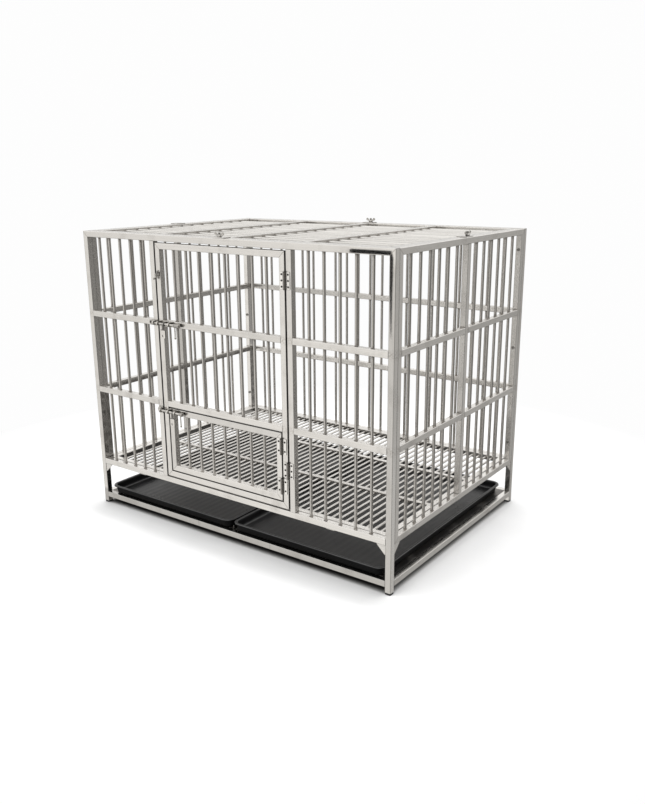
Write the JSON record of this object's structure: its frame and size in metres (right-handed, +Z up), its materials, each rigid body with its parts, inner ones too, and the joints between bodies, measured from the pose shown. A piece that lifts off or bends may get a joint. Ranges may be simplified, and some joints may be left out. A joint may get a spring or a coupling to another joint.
{
  "type": "kennel cage",
  "caption": "Flat-pack steel kennel cage of square tube and round bars, with a barred main door, a feeding door inside it, slide bolts, a lift-out floor grate and slide-out waste trays.",
  "frame": {"origin": "on the floor, under the middle of the whole closed cage's box", "axes": "+X to the right along the front, -Y out of the front (the doors' side), +Z up"},
  "size_m": [1.25, 0.887, 1.0184],
  "materials": {
    "tube_steel": "brushed along the tube, satin",
    "bar_steel": "drawn round bar, satin polished",
    "plate_steel": "stamped plate, satin",
    "fastener_steel": "turned, semi-bright",
    "wing_nut_steel": "cast and tumbled",
    "tray_plastic": "vacuum-formed sheet, fine grain",
    "foot_plastic": "moulded plug, dark grey"
  },
  "bodies": {
    "cage": {"front_frame": "tube_steel", "front_bars": "bar_steel", "back_frame": "tube_steel", "back_bars": "bar_steel", "left_frame": "tube_steel", "left_side_bars": "bar_steel", "right_frame": "tube_steel", "right_side_bars": "bar_steel", "lower_rails": "tube_steel", "tray_runners": "plate_steel", "gussets": "tube_steel", "foot_plugs": "foot_plastic", "tie_bolts": "fastener_steel", "rivet_nuts": "fastener_steel", "grate_lugs": "plate_steel", "main_hinge_post_leaves": "plate_steel", "main_hinge_pins": "fastener_steel", "post_screws": "fastener_steel", "main_keeper": "plate_steel", "feed_keeper": "plate_steel", "top_studs": "fastener_steel"},
    "main_door": {"main_door_frame": "tube_steel", "main_door_bars": "bar_steel", "main_hinge_door_leaves": "plate_steel", "feed_hinge_stile_leaves": "plate_steel", "feed_hinge_pins": "fastener_steel", "main_bolt_bracket": "plate_steel", "main_door_screws": "fastener_steel", "door_stud": "fastener_steel"},
    "feed_door": {"feed_door_frame": "tube_steel", "feed_door_bars": "bar_steel", "feed_hinge_door_leaves": "plate_steel", "feed_bolt_bracket": "plate_steel", "feed_door_screws": "fastener_steel"},
    "main_bolt": {"main_bolt_rod": "fastener_steel"},
    "main_bolt_hasp": {"main_hasp": "plate_steel"},
    "feed_bolt": {"feed_bolt_rod": "fastener_steel"},
    "feed_bolt_hasp": {"feed_hasp": "plate_steel"},
    "door_nut": {"door_wing_nut": "wing_nut_steel"},
    "left_tray": {"tray_left": "tray_plastic"},
    "right_tray": {"tray_right": "tray_plastic"},
    "floor_grate": {"grate_frame": "tube_steel", "grate_cross_tubes": "tube_steel", "grate_bars": "bar_steel"},
    "top_panel": {"top_frame": "tube_steel", "top_mullions": "tube_steel", "top_bars": "bar_steel", "top_lugs": "plate_steel"},
    "top_nut_front": {"wing_nut_front": "wing_nut_steel"},
    "top_nut_back": {"wing_nut_back": "wing_nut_steel"},
    "top_nut_right": {"wing_nut_right": "wing_nut_steel"}
  },
  "joints": [
    {"name": "main_door_swing", "type": "hinge", "parent": "cage", "child": "main_door", "pos_m": [0.2575, -0.431, 0.58], "axis": [0, 0, 1], "range_deg": [0, 170]},
    {"name": "feed_door_swing", "type": "hinge", "parent": "main_door", "child": "feed_door", "pos_m": [0.233, -0.431, 0.315], "axis": [0, 0, -1], "range_deg": [-160, 0]},
    {"name": "main_bolt_slide", "type": "slide", "parent": "main_door", "child": "main_bolt", "axis": [1, 0, 0], "range_m": [-0.016, 0]},
    {"name": "main_hasp_lift", "type": "hinge", "parent": "main_bolt", "child": "main_bolt_hasp", "pos_m": [-0.243, -0.4365, 0.715], "axis": [1, 0, 0], "range_deg": [-100, 0]},
    {"name": "feed_bolt_slide", "type": "slide", "parent": "feed_door", "child": "feed_bolt", "axis": [1, 0, 0], "range_m": [-0.016, 0]},
    {"name": "feed_hasp_lift", "type": "hinge", "parent": "feed_bolt", "child": "feed_bolt_hasp", "pos_m": [-0.2235, -0.4365, 0.416], "axis": [1, 0, 0], "range_deg": [-100, 0]},
    {"name": "door_nut_turn", "type": "hinge", "parent": "main_door", "child": "door_nut", "pos_m": [-0.265, -0.4315, 0.874], "axis": [0, -1, 0], "continuous": true},
    {"name": "left_tray_slide", "type": "slide", "parent": "cage", "child": "left_tray", "axis": [0, -1, 0], "range_m": [0, 0.8]},
    {"name": "right_tray_slide", "type": "slide", "parent": "cage", "child": "right_tray", "axis": [0, -1, 0], "range_m": [0, 0.8]},
    {"name": "grate_lift", "type": "slide", "parent": "cage", "child": "floor_grate", "axis": [0, 0, 1], "range_m": [0, 0.15]},
    {"name": "top_lift", "type": "slide", "parent": "cage", "child": "top_panel", "axis": [0, 0, 1], "range_m": [0, 0.012]},
    {"name": "front_nut_turn", "type": "hinge", "parent": "top_panel", "child": "top_nut_front", "pos_m": [0, -0.4165, 1.006], "axis": [0, 0, 1], "continuous": true},
    {"name": "back_nut_turn", "type": "hinge", "parent": "top_panel", "child": "top_nut_back", "pos_m": [0, 0.4335, 1.006], "axis": [0, 0, 1], "continuous": true},
    {"name": "right_nut_turn", "type": "hinge", "parent": "top_panel", "child": "top_nut_right", "pos_m": [0.615, 0.0085, 1.006], "axis": [0, 0, 1], "continuous": true}
  ]
}
